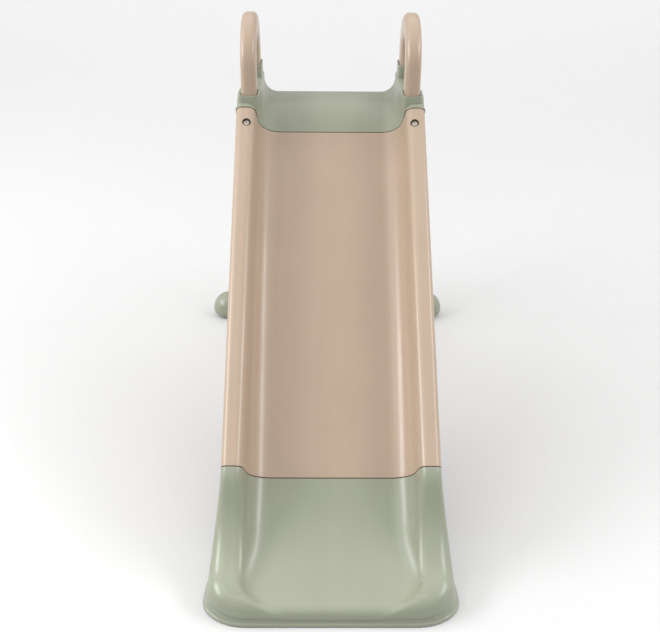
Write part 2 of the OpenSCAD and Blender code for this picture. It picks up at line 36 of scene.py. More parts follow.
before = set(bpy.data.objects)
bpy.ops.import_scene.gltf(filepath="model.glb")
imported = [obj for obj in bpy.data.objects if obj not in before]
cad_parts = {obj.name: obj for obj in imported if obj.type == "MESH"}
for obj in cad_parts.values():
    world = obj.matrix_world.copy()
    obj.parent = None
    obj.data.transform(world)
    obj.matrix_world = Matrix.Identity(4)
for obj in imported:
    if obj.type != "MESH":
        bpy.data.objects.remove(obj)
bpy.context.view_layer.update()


# ------------------------------------------------------------------ sizes, in millimetres
class Plan:
    """The slide's sizes in its design frame, where y is 0 at the front edge's foot."""

    half_w, length, slope = 190.0, 734.0, math.radians(38)
    depth, wall_a = 87.0, math.radians(83)
    foot_r, lip_r, edge_r, skirt, wall = 44.0, 16.0, 12.0, 14.0, 4.0
    run_r, front_h, corner_h = 387.0, 31.0, 20.0
    front_w, corner_x, corner_y = 430.0, 75.0, 58.0
    scoop_r, flat, shoulder = 196.0, 41.0, 45.0
    grip_x, grip_y, leg_gap, handle_x, handle_h = 31.0, 49.0, 147.0, 165.0, 190.0
    collar_x, collar_y, collar_wall, rim_r = 38.0, 56.0, 2.7, 1.4
    lean, bar_d, bar_h, foot_t, base_w = math.radians(11.5), 76.0, 60.0, 2.0, 584.0
    rail_down, recess_r, gap = 35.0, 8.0, 0.3

    def __init__(self):
        s, c = math.sin(self.slope), math.cos(self.slope)
        self.c1 = (6.0, self.front_h + self.run_r)
        self.seam = (self.c1[0] + self.run_r * s, self.c1[1] - self.run_r * c)
        self.top = (self.seam[0] + self.length * c, self.seam[1] + self.length * s)
        self.c2 = (self.top[0] + self.scoop_r * s, self.top[1] - self.scoop_r * c)
        self.deck_z = self.c2[1] + self.scoop_r
        self.rear_y = self.c2[0] + self.flat
        both = self.foot_r + self.lip_r
        rise = self.depth - both * (1 - math.cos(self.wall_a))
        self.rail_in = self.half_w - self.edge_r - 10
        self.floor_x = (
            self.rail_in - both * math.sin(self.wall_a) - rise / math.tan(self.wall_a)
        )
        self.crest_in = self.rail_in - 4
        self.rim_z = self.deck_z + self.shoulder + 2.5
        self.front_leg = self.top[0] - self.depth * s + 12 + self.grip_y / 2
        self.rear_leg = self.front_leg + self.leg_gap
        self.bend_r = self.leg_gap / 2
        self.bend_z = self.deck_z + self.handle_h - self.bend_r - self.grip_y / 2
        self.socket_z = self.rim_z + 24
        self.knee_z = self.deck_z - 74
        self.bar_y = self.rear_leg + math.tan(self.lean) * (self.knee_z - self.foot_t)
        self.half_y = (self.bar_y + self.bar_d / 2) / 2
        self.stile_in = self.handle_x - self.collar_x / 2
        self.screw_x = self.handle_x + 3

    def world(self, p):
        """Design millimetres to the frame's metres."""
        p = np.asarray(p, float)
        return (p - np.array([0.0, self.half_y, 0.0])) * 0.001


P = Plan()


def on_slope(x, n, down):
    """A design point x across, n above the trough's floor and down the slope from the top seam."""
    s, c = math.sin(P.slope), math.cos(P.slope)
    return x, P.top[0] - n * s - down * c, P.top[1] + n * c - down * s


# ------------------------------------------------------------------ numbers and arrays
def mix(a, b, t):
    """a at t = 0 and b at t = 1, in a straight line."""
    return a + (b - a) * t


def ease(t):
    """0 to 1 with level ends: 3 t squared minus 2 t cubed, held outside 0 to 1."""
    t = np.clip(t, 0.0, 1.0)
    return t * t * (3 - 2 * t)


def steps(lo, hi, n, *dense):
    """n even values from lo to hi, with closer ones round each (centre, reach, pitch)."""
    parts = [np.linspace(lo, hi, n)]
    for centre, reach, pitch in dense:
        parts.append(np.arange(centre - reach, centre + reach + pitch / 2, pitch))
    v = np.unique(np.round(np.clip(np.concatenate(parts), min(lo, hi), max(lo, hi)), 5))
    return v if hi > lo else v[::-1]


def column(*values):
    """Each value as one column, so that ribs run down and section points run across."""
    return [np.atleast_1d(np.asarray(v, float))[:, None] for v in values]


def section(xs, rf, rc, ph, h, xw, ro, nb, g, dr=0.0, k=14, rail=(0.0, 1.0), side=None):
    """Right half of a trough, middle to outer foot, as x across and n above the floor.

    A floor to xs, a concave arc of radius rf up to the wall angle ph, the straight wall, a
    convex arc of radius rc on to the rail top at height h, a flat, an outer arc of radius ro,
    and a side down to nb that flares by dr. The whole curve lies g inside the moulded skin.
    """
    xs, rf, rc, ph, h, xw, ro, nb, g, dr = column(xs, rf, rc, ph, h, xw, ro, nb, g, dr)
    a = np.linspace(0, 1, k + 1)[None, :]
    x2 = xs + (rf + rc) * np.sin(ph) + (h - (rf + rc) * (1 - np.cos(ph))) / np.tan(ph)
    f = np.linspace(0, 1, 9)[None, :-1]
    q = np.asarray(rail, float)[None, :]
    s = (np.linspace(0, 1, 12) if side is None else np.asarray(side, float))[None, 1:]
    up, down = ph * a, ph * (1 - a)
    out = a * math.pi / 2
    x3, zero = xw - ro, np.zeros_like(xs)
    xf = [xs * f + zero, xs + (rf + g) * np.sin(up), x2 - (rc - g) * np.sin(down),
          mix(x2, x3, q[:, 1:-1]) + zero, x3 + (ro - g) * np.sin(out),
          xw - g + dr * s]
    nf = [-g + zero * f, rf - (rf + g) * np.cos(up), h - rc + (rc - g) * np.cos(down),
          (h - g) + zero * q[:, 1:-1], h - ro + (ro - g) * np.cos(out),
          mix(h - ro, nb, s)]
    wide = np.broadcast_shapes(*[v.shape[:1] + (1,) for v in xf])[0]
    grow = lambda v: np.broadcast_to(v, (wide, v.shape[1]))
    return np.concatenate([grow(v) for v in xf], 1), np.concatenate([grow(v) for v in nf], 1)


def mirrored(grid):
    """The left half and the right half of a grid, sharing the middle column."""
    left = grid[:, :0:-1] * np.array([-1.0, 1.0, 1.0])
    return np.concatenate([left, grid], 1)


# ------------------------------------------------------------------ meshes
def quads(rows, cols, start=0, flip=False, wrap_rows=False, wrap_cols=False):
    """Four corners of each cell of a rows by cols grid of points, numbered from start."""
    r = np.arange(rows if wrap_rows else rows - 1)[:, None]
    c = np.arange(cols if wrap_cols else cols - 1)[None, :]
    r1, c1 = (r + 1) % rows, (c + 1) % cols
    f = np.stack([r * cols + c, r * cols + c1, r1 * cols + c1, r1 * cols + c], -1) + start
    f = f.reshape(-1, 4)
    return f[:, ::-1] if flip else f


def ribbon(a, b, flip=False):
    """Faces between two equally long runs of point numbers."""
    a, b = np.asarray(a), np.asarray(b)
    f = np.stack([a[:-1], a[1:], b[1:], b[:-1]], -1)
    return f[:, ::-1] if flip else f


def make_object(name, points, faces, slot_name, sharp=38, merge=0.0):
    """A smooth mesh piece on the root body, in metres."""
    mesh = bpy.data.meshes.new(name)
    mesh.from_pydata(points.reshape(-1, 3), [], [list(map(int, f)) for f in faces])
    if merge:
        bm = bmesh.new()
        bm.from_mesh(mesh)
        bmesh.ops.remove_doubles(bm, verts=bm.verts, dist=merge)
        bmesh.ops.dissolve_degenerate(bm, edges=bm.edges, dist=merge * 0.5)
        bm.to_mesh(mesh)
        bm.free()
    mesh.validate()
    mesh.polygons.foreach_set("use_smooth", np.ones(len(mesh.polygons), bool))
    mesh.set_sharp_from_angle(angle=math.radians(sharp))
    piece = bpy.data.objects.new(name, mesh)
    bpy.context.scene.collection.objects.link(piece)
    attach(piece, "root")
    return piece


def shell(name, outer, inner, slot_name, plate_end=False, open_end=False, turn=False, **more):
    """A moulded skin: outer and inner grids closed along both feet and at both ends.

    With plate_end the last rib is closed by a flat wall across the whole section. With open_end
    it is left as it is, because its two halves meet. Ribs run towards -Y, or with turn towards +Y.
    """
    r, c = outer.shape[:2]
    n = r * c
    ids = np.arange(n).reshape(r, c)
    faces = [quads(r, c, flip=True), quads(r, c, n),
             ribbon(ids[:, 0], ids[:, 0] + n, True), ribbon(ids[:, -1], ids[:, -1] + n),
             ribbon(ids[0], ids[0] + n)]
    ends = []
    if plate_end:
        ends = [ids[-1][::-1], ids[-1] + n]
        faces.append(np.array([[ids[-1, 0], ids[-1, -1], ids[-1, -1] + n, ids[-1, 0] + n]])[:, ::-1])
    elif not open_end:
        faces.append(ribbon(ids[-1], ids[-1] + n, True))
    listed = [list(f) for block in faces for f in block] + [list(e) for e in ends]
    if turn:
        listed = [f[::-1] for f in listed]
    return make_object(name, P.world(np.concatenate([outer, inner])), listed, slot_name, **more)


def tube(name, centres, across, upward, loops, slot_name, **more):
    """A closed tube: each loop's own (a, b) outline set at a centre on its two directions."""
    c, u, v = (np.asarray(q, float)[:, None, :] for q in (centres, across, upward))
    pts = c + u * loops[..., :1] + v * loops[..., 1:]
    r, k = pts.shape[:2]
    faces = [list(f) for f in quads(r, k, wrap_cols=True)]
    faces += [list(range(k))[::-1], list(range((r - 1) * k, r * k))]
    return make_object(name, P.world(pts), faces, slot_name, **more)


def rounded_loop(x, y, r, k=9):
    """Outline of an x by y rectangle with corner radius r, counter-clockwise."""
    a = np.concatenate([np.linspace(0, 1, k) + q for q in range(4)]) * math.pi / 2
    sx = np.repeat([1, -1, -1, 1], k) * (x / 2 - r)
    sy = np.repeat([1, 1, -1, -1], k) * (y / 2 - r)
    return np.stack([sx + r * np.cos(a), sy + r * np.sin(a)], -1)


def join(name, parts):
    """Several pieces of one moulding as one object."""
    bm = bmesh.new()
    for part in parts:
        bm.from_mesh(part.data)
    mesh = bpy.data.meshes.new(name)
    bm.to_mesh(mesh)
    bm.free()
    for part in parts:
        old = part.data
        bpy.data.objects.remove(part)
        bpy.data.meshes.remove(old)
    piece = bpy.data.objects.new(name, mesh)
    bpy.context.scene.collection.objects.link(piece)
    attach(piece, "root")
    return piece


def rolled(d, r=1.3):
    """How far a skin lies inside itself at distance d from a rounded edge of radius r."""
    t = np.clip(1 - d / r, 0, 1)
    return r * (1 - np.sqrt(1 - t * t))


# ------------------------------------------------------------------ surfaces
def chute_grid(down, g, rail, side):
    """The trough's section carried straight down the slope from the upper seam."""
    one = np.ones_like(down)
    x, n = section(P.floor_x, P.foot_r, P.lip_r, P.wall_a, P.depth, P.half_w, P.edge_r,
                   -P.skirt, g * one, rail=rail, side=side)
    s, c = math.sin(P.slope), math.cos(P.slope)
    d = down[:, None]
    return np.stack([x, P.top[0] - n * s - d * c, P.top[1] + n * c - d * s], -1), n


def sink(grid, centre, axis, radius, depth, soft=0.9):
    """Presses a round recess into a grid: points within radius move depth along axis."""
    away = grid - np.asarray(centre, float)
    along = (away * axis).sum(-1, keepdims=True)
    r = np.linalg.norm(away - along * axis, axis=-1, keepdims=True)
    near = np.abs(along) < 14
    return grid + np.asarray(axis) * depth * ease((radius - r) / soft) * near


def run_floor(y):
    """Height of the run-out's floor: a circle of run_r about c1."""
    return P.c1[1] - np.sqrt(P.run_r**2 - (y - P.c1[0]) ** 2)


def crest_at(h, rf, rc, ph):
    """Distance from the floor's edge to the rail top for a rail of height h."""
    return (rf + rc) * np.sin(ph) + (h - (rf + rc) * (1 - np.cos(ph))) / np.tan(ph)


def wall_at(h, rf, rc):
    """Steepest wall angle that a rail of height h reaches with these two radii."""
    return np.minimum(P.wall_a, 0.97 * np.arccos(1 - np.minimum(0.99, h / (rf + rc))))


SOFT_FOOT, SOFT_LIP, BEND_IN = 46.0, 22.0, 48.0
# where the points of the outer side lie, closer together towards its foot
FOOT_STEPS = 1 - (1 - np.linspace(0, 1, 19)) ** 2.2
FOOT_IN = P.crest_in - float(crest_at(
    P.corner_h, SOFT_FOOT, SOFT_LIP, wall_at(P.corner_h, SOFT_FOOT, SOFT_LIP)))


def side_ribs(s, g):
    """Run-out beside the floor: sections that widen, sink and stand upright towards s = 1."""
    e = ease(s)
    y = mix(P.seam[0], P.corner_y, s)
    th = np.arcsin((y - P.c1[0]) / P.run_r)
    tip = 1 - e
    up = mix(1, np.cos(th), tip)
    rf, rc = mix(P.foot_r, SOFT_FOOT, e), mix(P.lip_r, SOFT_LIP, e)
    h, ro, dr = mix(P.depth, P.corner_h, e), mix(P.edge_r, 30, e), mix(0, 8, e)
    ph = wall_at(h, rf, rc)
    xs = mix(P.rail_in, P.crest_in, e) - crest_at(h, rf, rc, ph)
    foot = mix(P.seam[1] - P.skirt * math.cos(P.slope), P.foot_t, ease(s * 1.9))
    nb = (foot - run_floor(y)) / up
    x, n = section(xs, rf, rc, ph, h, mix(P.half_w, P.front_w / 2, e) - dr, ro, nb, g, dr,
                   side=FOOT_STEPS)
    y, up, th, tip = (v[:, None] for v in (y, up, th, tip))
    z = run_floor(y) + n * up
    m = x.shape[1] - len(FOOT_STEPS) + 1
    x = x.copy()
    x[:, m:] -= foot_bead(z[:, m:]) * e[:, None]
    return np.stack([x, y - n * np.sin(th) * tip, z], -1)


def foot_bead(z):
    """How far the skin steps in above the bead at the run-out's foot, at height z."""
    return 1.9 * ease((z - 5.2) / 1.6) * (1 - ease((z - 9) / 26))


def outline(c, f, d):
    """Plan of the front edge moved d inwards: a quarter ellipse, then straight to the middle."""
    a = c * math.pi / 2
    fx = P.front_w / 2 - P.corner_x
    x = np.where(f > 0, fx * (1 - f), fx + (P.corner_x - d) * np.cos(a))
    return x, np.where(f > 0, d, P.corner_y - (P.corner_y - d) * np.sin(a))


def inner_line(c, f, x0, d):
    """Plan line inside the front corner: from x0 on the side to d in front of the corner."""
    a = c * math.pi / 2
    x = np.where(f > 0, (x0 - BEND_IN) * (1 - f), x0 - BEND_IN * (1 - np.cos(a)))
    return x, np.where(f > 0, P.corner_y - d, P.corner_y - d * np.sin(a))


def front_height(x, y):
    """Floor plus rail over the front corner; the rail's foot line swings in as y falls."""
    t = np.clip(np.maximum(0, P.corner_y - y) / (P.corner_y - 4), 0, 1)
    q = x - (FOOT_IN - BEND_IN * (1 - np.sqrt(1 - t * t)))
    h = np.maximum(0.3, P.corner_h * (1 - (1 - np.minimum(1, y / P.corner_y)) ** 2))
    ph = wall_at(h, SOFT_FOOT, SOFT_LIP)
    x2 = crest_at(h, SOFT_FOOT, SOFT_LIP, ph)
    q1 = SOFT_FOOT * np.sin(ph)
    rise = np.where(q <= 0, 0, np.where(
        q < q1, SOFT_FOOT - np.sqrt(np.maximum(0, SOFT_FOOT**2 - np.clip(q, 0, q1) ** 2)),
        np.where(q < x2 - SOFT_LIP * np.sin(ph),
                 SOFT_FOOT * (1 - np.cos(ph)) + (q - q1) * np.tan(ph),
                 np.where(q < x2, h - SOFT_LIP + np.sqrt(np.maximum(
                     0, SOFT_LIP**2 - np.clip(x2 - q, 0, SOFT_LIP) ** 2)), h))))
    return run_floor(y) + rise


def front_ribs(c, f, g, k):
    """Run-out round the corner and across the front, on the same number of points as a side rib.

    Across the floor and up to the crest the points share out the way between two plan lines;
    past it they roll over a radius that falls from 30 to 18 and drop to the ground outline.
    """
    e = ease(c)
    ro, dr = mix(30, 18, e)[:, None], mix(8, 4, e)[:, None]
    c, f = c[:, None], f[:, None]
    spine_y = P.corner_y - 19.5 * (c * 9 + f * 4) / 13
    a0 = inner_line(c, f, FOOT_IN, P.corner_y - 36)
    a1 = inner_line(c, f, P.crest_in, P.corner_y - 29)
    a2, a3 = outline(c, f, dr + ro), outline(c, f, dr + g)
    t0 = np.linspace(0, 1, 9)[None, :-1]
    t1 = np.linspace(0, 1, 2 * k + 2)[None, :]
    t2 = np.sin(np.linspace(0, 1, k + 1) * math.pi / 2)[None, :]
    x = np.concatenate([a0[0] * t0, mix(a0[0], a1[0], t1), mix(a2[0], a3[0], t2)], 1)
    y = np.concatenate([mix(spine_y, a0[1], t0), mix(a0[1], a1[1], t1), mix(a2[1], a3[1], t2)], 1)
    z = front_height(x, y) - g
    m = t0.shape[1] + t1.shape[1]
    roll = np.linspace(0, 1, k + 1)[None, :] * math.pi / 2
    z[:, m:] = front_height(x[:, m:], y[:, m:]) - ro + (ro - g) * np.cos(roll)
    w = FOOT_STEPS[None, 1:]
    z2 = mix(z[:, -1:], P.foot_t, w)
    d = mix(dr + g, g, w) + foot_bead(z2)
    foot = outline(c, f, d)
    return np.stack([np.concatenate([x, foot[0]], 1), np.concatenate([y, foot[1]], 1),
                     np.concatenate([z, z2], 1)], -1)


def deck_ribs(i, g, side=None):
    """Start scoop and level deck: i is 0 at the seam, 1 where the arc ends and 2 at the rear."""
    th = P.slope * np.clip(1 - i, 0, 1)
    cy = np.where(i <= 1, P.c2[0] - P.scoop_r * np.sin(th), mix(P.c2[0], P.rear_y, i - 1))
    cz = np.where(i <= 1, P.c2[1] + P.scoop_r * np.cos(th), P.deck_z)
    t = ease(i * 1.15)
    level = (P.scoop_r + P.shoulder) / np.cos(th) - P.scoop_r
    h = np.minimum(mix(P.depth, P.depth - 2, i * 4), level)
    x, n = section(mix(P.floor_x, P.stile_in - 32.6, t), mix(P.foot_r, 30, t),
                   mix(P.lip_r, 5, t), mix(P.wall_a, math.radians(87), t), h,
                   mix(P.half_w, P.half_w - 2, t), mix(P.edge_r, 8, t),
                   mix(-P.skirt, -70, t), g, side=side)
    th, cy, cz = th[:, None], cy[:, None], cz[:, None]
    return np.stack([x, cy - n * np.sin(th), cz + n * np.cos(th)], -1)


def turned(name, centre, axis, profile, slot_name, k=40):
    """A surface of revolution: (r, a) pairs, r off the axis and a along it, closed at both ends."""
    prof = np.asarray(profile, float)
    axis = Vector(axis).normalized()
    u = axis.orthogonal().normalized()
    v = axis.cross(u)
    a = np.linspace(0, 2 * math.pi, k, endpoint=False)[None, :, None]
    u, v, w = (np.array(q)[None, None, :] for q in (u, v, axis))
    r, z = prof[:, None, None, 0], prof[:, None, None, 1]
    pts = np.asarray(centre, float) + u * r * np.cos(a) + v * r * np.sin(a) + w * z
    rows = len(prof)
    faces = [list(f) for f in quads(rows, k, wrap_cols=True)]
    faces += [list(range(k))[::-1], list(range((rows - 1) * k, rows * k))]
    return make_object(name, P.world(pts), faces, slot_name, sharp=30)


# ------------------------------------------------------------------ shader expressions
class Wire:
    """A shader socket that takes part in Python arithmetic."""

    def __init__(self, tree, socket):
        self.tree, self.socket = tree, socket

    def _op(self, kind, a, b=0.0):
        return node(self.tree, "ShaderNodeMath", {"operation": kind}, [a, b])

    def __add__(self, other):
        return self._op("ADD", self, other)

    def __radd__(self, other):
        return self._op("ADD", other, self)

    def __sub__(self, other):
        return self._op("SUBTRACT", self, other)

    def __rsub__(self, other):
        return self._op("SUBTRACT", other, self)

    def __mul__(self, other):
        return self._op("MULTIPLY", self, other)

    def __pow__(self, other):
        return self._op("POWER", self, other)

    def __abs__(self):
        return self._op("ABSOLUTE", self)

    def high(self, other):
        return self._op("MAXIMUM", self, other)

    def fade(self, a, b):
        """0 at a and 1 at b, with level ends."""
        return node(self.tree, "ShaderNodeMapRange", {"interpolation_type": "SMOOTHSTEP"},
                    {"Value": self, "From Min": a, "From Max": b})


def node(tree, kind, settings=None, values=None, out=0):
    """Makes a node, sets it, then fills its sockets with numbers, colours or wires."""
    n = tree.nodes.new(kind)
    for key, value in (settings or {}).items():
        setattr(n, key, value)
    pairs = values.items() if isinstance(values, dict) else enumerate(values or [])
    for key, value in pairs:
        if isinstance(value, Wire):
            tree.links.new(value.socket, n.inputs[key])
        else:
            n.inputs[key].default_value = value
    return Wire(tree, n.outputs[out])


def blend_colour(tree, t, a, b):
    """Colour a where t is 0 and b where t is 1."""
    n = tree.nodes.new("ShaderNodeMix")
    n.data_type = "RGBA"
    sockets = [s for s in n.inputs if s.enabled]
    for s, v in zip(sockets, (t, a, b)):
        if isinstance(v, Wire):
            tree.links.new(v.socket, s)
        else:
            s.default_value = v if isinstance(v, float) else (*v[:3], 1.0)
    return Wire(tree, next(s for s in n.outputs if s.enabled))


def start_material(name):
    """An empty material with its shader, and the piece's own place as three wires."""
    m = bpy.data.materials.new(name)
    m.use_nodes = True
    t = m.node_tree
    t.nodes.clear()
    out = t.nodes.new("ShaderNodeOutputMaterial")
    shader = t.nodes.new("ShaderNodeBsdfPrincipled")
    t.links.new(shader.outputs[0], out.inputs[0])
    place = node(t, "ShaderNodeTexCoord", out=3)
    parts = t.nodes.new("ShaderNodeSeparateXYZ")
    t.links.new(place.socket, parts.inputs[0])
    return m, t, shader, place, [Wire(t, s) for s in parts.outputs]


def noise(t, place, scale, detail=3.0, rough=0.5):
    """Cloudy noise from about 0 to 1, scale features to the metre."""
    return node(t, "ShaderNodeTexNoise", {"noise_dimensions": "3D"},
                {"Vector": place, "Scale": scale, "Detail": detail, "Roughness": rough})


def seam_lines(xyz, seams, half_line=0.00085):
    """1 within half_line of each seam plane, down to 0.11 m under the trough's floor.

    A seam is a unit normal in y and z, its offset and the floor's offset square to the slope.
    """
    total = None
    for (ny, nz), off, level in seams:
        d = abs(xyz[1] * ny + xyz[2] * nz - off)
        one = 1 - d.fade(half_line * 0.55, half_line * 1.5)
        one = one * (xyz[2] * ny - xyz[1] * nz).fade(level - 0.115, level - 0.105)
        total = one if total is None else total.high(one)
    return total


def recess_shade_ring(xyz, well):
    """Painted shade: 1 round the edge of a round well on either rail, from 6 to 9 mm off its middle,
    where the recess's shadow falls.

    The well is its place across, along the slope and square to it, in metres.
    """
    s, c = math.sin(P.slope), math.cos(P.slope)
    x0, along0, square0 = well
    along = xyz[1] * c + xyz[2] * s - along0
    square = xyz[2] * c - xyz[1] * s
    across = abs(xyz[0]) - x0
    r = (across * across + along * along) ** 0.5
    band = r.fade(0.0058, 0.0066) * (1 - r.fade(0.0086, 0.0094))
    return band * square.fade(square0 - 0.03, square0 - 0.02)


def moulded_plastic(name, base, deep, pale, rough, seams=(), joint_and_shade_colour=(0.06, 0.045, 0.03),
                    well=None):
    """Satin moulded plastic: cloudy tint, faint flow marks, fine skin, scuffs, dark joints, and painted
    shade round the rail screw recesses.
    """
    m, t, shader, place, xyz = start_material(name)
    cloud = noise(t, place, 7.0, 4.0, 0.55).fade(0.34, 0.66)
    flow = noise(t, node(t, "ShaderNodeMapping", {}, {"Vector": place, "Scale": (9.0, 1.4, 1.4)}),
                 3.0, 3.0, 0.5).fade(0.3, 0.7)
    speck = noise(t, place, 900.0, 2.0, 0.6).fade(0.62, 0.78)
    colour = blend_colour(t, cloud * 0.45, base, deep)
    colour = blend_colour(t, flow * 0.22, colour, pale)
    colour = blend_colour(t, speck * 0.05, colour, deep)
    hair_place = node(t, "ShaderNodeMapping", {}, {
        "Vector": place, "Rotation": (0.0, 0.0, 0.2), "Scale": (90.0, 5.0, 5.0)})
    hair = noise(t, hair_place, 1.0, 1.0, 0.5).fade(0.45, 0.95)
    worn = noise(t, place, 11.0, 1.0, 0.5).fade(0.2, 0.9)
    scuff = hair * worn
    colour = blend_colour(t, scuff * 0.08, colour, pale)
    roughness = rough + (cloud - 0.5) * 0.06 + scuff * 0.04 + (flow - 0.5) * 0.03
    if seams:
        # the line thins out where the top joint passes over the rails
        line = seam_lines(xyz, seams) * (
            1 - abs(xyz[0]).fade(0.146, 0.156) * xyz[2].fade(0.50, 0.52) * 0.7)
        colour = blend_colour(t, line * 0.93, colour, joint_and_shade_colour)
        roughness = roughness + line * 0.4
    if well:
        # painted shade: a dark ring round the edge of each rail screw recess, in place of the shadow in
        # the recess
        colour = blend_colour(t, recess_shade_ring(xyz, well) * 0.92, colour, joint_and_shade_colour)
    skin = noise(t, place, 330.0, 2.0, 0.5)
    wave = noise(t, place, 26.0, 2.0, 0.5)
    height = skin * 0.00001 + wave * 0.0004
    bump = node(t, "ShaderNodeBump", {}, {"Height": height, "Strength": 0.55, "Distance": 1.0})
    t.links.new(colour.socket, shader.inputs["Base Color"])
    t.links.new(roughness.socket, shader.inputs["Roughness"])
    t.links.new(bump.socket, shader.inputs["Normal"])
    shader.inputs["IOR"].default_value = 1.5
    shader.inputs["Subsurface Weight"].default_value = 0.0
    shader.inputs["Coat Weight"].default_value = 0.10
    shader.inputs["Coat Roughness"].default_value = 0.16
    return m


def plated_steel(name):
    """Zinc-plated screw steel: cloudy plating, fine turned lines and a few dull spots."""
    m, t, shader, place, xyz = start_material(name)
    cloud = noise(t, place, 240.0, 4.0, 0.6)
    turned_lines = noise(t, node(t, "ShaderNodeMapping", {}, {
        "Vector": place, "Scale": (1.0, 1.0, 12.0)}), 700.0, 2.0, 0.5)
    spots = noise(t, place, 420.0, 3.0, 0.7).fade(0.6, 0.74)
    colour = blend_colour(t, cloud.fade(0.3, 0.7), (0.42, 0.42, 0.42), (0.58, 0.57, 0.55))
    colour = blend_colour(t, spots * 0.6, colour, (0.20, 0.18, 0.15))
    t.links.new(colour.socket, shader.inputs["Base Color"])
    t.links.new((0.28 + cloud * 0.16 + spots * 0.3).socket, shader.inputs["Roughness"])
    bump = node(t, "ShaderNodeBump", {}, {
        "Height": turned_lines * 0.00002, "Strength": 0.6, "Distance": 1.0})
    t.links.new(bump.socket, shader.inputs["Normal"])
    shader.inputs["Metallic"].default_value = 0.95
    return m


def pad_rubber(name):
    """Dull black rubber with dust in a fine pebbled skin."""
    m, t, shader, place, xyz = start_material(name)
    dust = noise(t, place, 60.0, 4.0, 0.6).fade(0.42, 0.72)
    grain = noise(t, place, 1100.0, 2.0, 0.5)
    colour = blend_colour(t, dust * 0.5, (0.022, 0.022, 0.021), (0.075, 0.070, 0.062))
    t.links.new(colour.socket, shader.inputs["Base Color"])
    t.links.new((0.72 + dust * 0.15).socket, shader.inputs["Roughness"])
    bump = node(t, "ShaderNodeBump", {}, {
        "Height": grain * 0.00009, "Strength": 0.7, "Distance": 1.0})
    t.links.new(bump.socket, shader.inputs["Normal"])
    return m


def studio_floor(name, tone):
    """Matt pale studio floor with painted shade that makes it greyer in front, and a very faint mottle.
    """
    m, t, shader, place, xyz = start_material(name)
    mottle = noise(t, place, 1.6, 3.0, 0.5)
    # painted shade: a shade greyer under and before the slide than far behind it, in place of how the
    # light falls off
    far = xyz[1].fade(0.2, 5.5)
    painted_shade_tone = tuple(v * 0.66 for v in tone)
    colour = blend_colour(t, far * 0.98 + mottle * 0.02, painted_shade_tone, tuple(tone))
    t.links.new(colour.socket, shader.inputs["Base Color"])
    t.links.new((0.85 + mottle * 0.1).socket, shader.inputs["Roughness"])
    shader.inputs["Specular IOR Level"].default_value = 0.2
    return m


def finish_of(name, make):
    """The named material, made on first use."""
    return bpy.data.materials.get(name) or make(name)


def joint_planes():
    """The two seams, each square to the slope, as seam_lines takes them."""
    n = (math.cos(P.slope), math.sin(P.slope))
    found = []
    for y, z in (P.top, P.seam):
        w = P.world([0.0, y, z])
        found.append((n, float(w[1] * n[0] + w[2] * n[1]), float(w[2] * n[0] - w[1] * n[1])))
    return found


def rail_well():
    """Where a rail's screw recess lies: across, along the slope and square to it, in metres."""
    s, c = math.sin(P.slope), math.cos(P.slope)
    w = P.world(on_slope(P.screw_x, P.depth, P.rail_down))
    return float(w[0]), float(w[1] * c + w[2] * s), float(w[2] * c - w[1] * s)


def plastic_finish(title, colour, **more):
    """Moulded plastic in this colour, with a deeper and a paler shade of it for the clouds."""
    deep = tuple(v * 0.93 for v in colour)
    pale = tuple(min(1.0, v * 1.07 + 0.01) for v in colour)
    rough = bpy.context.scene.slide_finish.gloss_rough
    return finish_of(title, lambda name: moulded_plastic(
        name, colour, deep, pale, rough, joint_planes(), **more))


def beige():
    """Plastic of the chute, handles, treads and splices."""
    return plastic_finish("Beige moulded plastic", bpy.context.scene.slide_finish.beige,
                          well=rail_well())


def green():
    """Plastic of the run-out, platform, stiles and base bar."""
    return plastic_finish("Sage moulded plastic", bpy.context.scene.slide_finish.sage)


def steel():
    """Metal of every fastener."""
    return finish_of("Plated steel", plated_steel)


def rubber():
    """Rubber of the pads."""
    return finish_of("Pad rubber", pad_rubber)


def paint(piece, material):
    """One finish over the whole piece."""
    piece.data.materials.clear()
    piece.data.materials.append(material)
    return piece


def paint_node(name, material):
    """Gives a shown CAD node its finish through its material slots."""
    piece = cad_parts[name]
    if not piece.material_slots:
        piece.data.materials.append(material)
    for held in piece.material_slots:
        held.material = material


# ------------------------------------------------------------------ settings
class SlideFinish(bpy.types.PropertyGroup):
    beige: bpy.props.FloatVectorProperty(
        name="Beige", description="Colour of the chute, handles and treads",
        subtype="COLOR", size=3, min=0, max=1, default=(0.413, 0.312, 0.230))
    sage: bpy.props.FloatVectorProperty(
        name="Sage", description="Colour of the run-out, platform and ladder",
        subtype="COLOR", size=3, min=0, max=1, default=(0.273, 0.290, 0.218))
    gloss_rough: bpy.props.FloatProperty(
        name="Roughness", description="Roughness of the moulded skin",
        subtype="FACTOR", min=0.05, max=0.8, default=0.35)


class SlideStage(bpy.types.PropertyGroup):
    floor: bpy.props.FloatVectorProperty(
        name="Floor", description="Tone of the studio floor",
        subtype="COLOR", size=3, min=0, max=1, default=(0.92, 0.92, 0.92))
    key: bpy.props.FloatProperty(
        name="Key light", description="Power of the left window, which the other lights follow",
        unit="POWER", min=0, default=56.0)
    fill: bpy.props.FloatProperty(
        name="Room light", description="Strength that the room gains from front to back",
        min=0, default=1.36)
    front: bpy.props.FloatProperty(
        name="Front light", description="Strength of the room at its dim front side",
        min=0, default=0.03)
    lens: bpy.props.FloatProperty(
        name="Lens", description="Focal length of the camera",
        unit="CAMERA", min=20, max=200, default=52.38)


